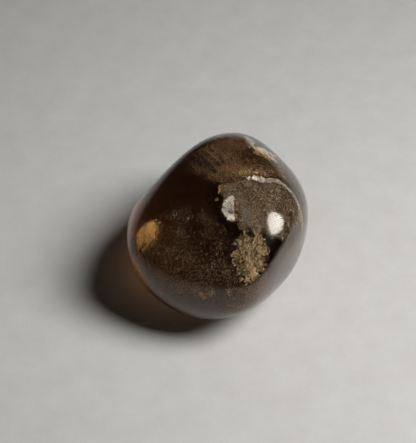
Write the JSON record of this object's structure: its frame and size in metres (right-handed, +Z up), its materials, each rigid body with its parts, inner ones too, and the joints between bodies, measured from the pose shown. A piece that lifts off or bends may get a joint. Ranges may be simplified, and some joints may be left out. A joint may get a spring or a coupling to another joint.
{
  "type": "tumbled smoky quartz",
  "caption": "Loose tumble-polished pebble of clear brown smoky quartz: a blunt, rounded lump with worn faces and one small flat spot it rests on.",
  "frame": {"origin": "under the middle of the stone's bounding box, on the plane its flat spot rests on", "axes": "+Z up from the rest plane, through the thinnest way of the stone; +Y along its longest way, towards the blunt corner; +X to the right"},
  "size_m": [0.024, 0.0282, 0.0193],
  "materials": {
    "smoky_quartz": "polished"
  },
  "bodies": {
    "root": {"quartz": "smoky_quartz"}
  },
  "joints": []
}
